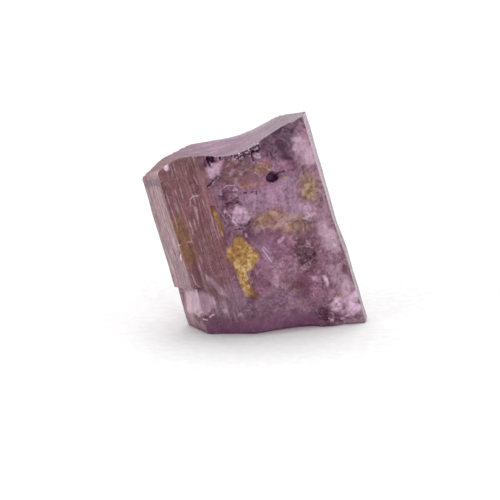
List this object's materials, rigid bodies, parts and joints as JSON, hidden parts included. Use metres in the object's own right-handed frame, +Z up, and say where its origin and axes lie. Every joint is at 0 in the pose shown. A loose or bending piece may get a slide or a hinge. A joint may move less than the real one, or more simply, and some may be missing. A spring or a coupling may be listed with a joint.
{
  "type": "scapolite crystal",
  "caption": "Short broken prism of translucent violet scapolite with ochre stains, standing on its broken base and leaning to one side.",
  "frame": {"origin": "middle of the crystal's box, on the ground that it stands on", "axes": "+Z up, +X to the right as the pictured front is seen, +Y away from the viewer"},
  "size_m": [0.0112, 0.0084, 0.0104],
  "materials": {
    "scapolite": "translucent mauve crystal, glossy to frosted, striated faces, ochre iron stains"
  },
  "bodies": {
    "root": {"scapolite_crystal": "scapolite"}
  },
  "joints": []
}
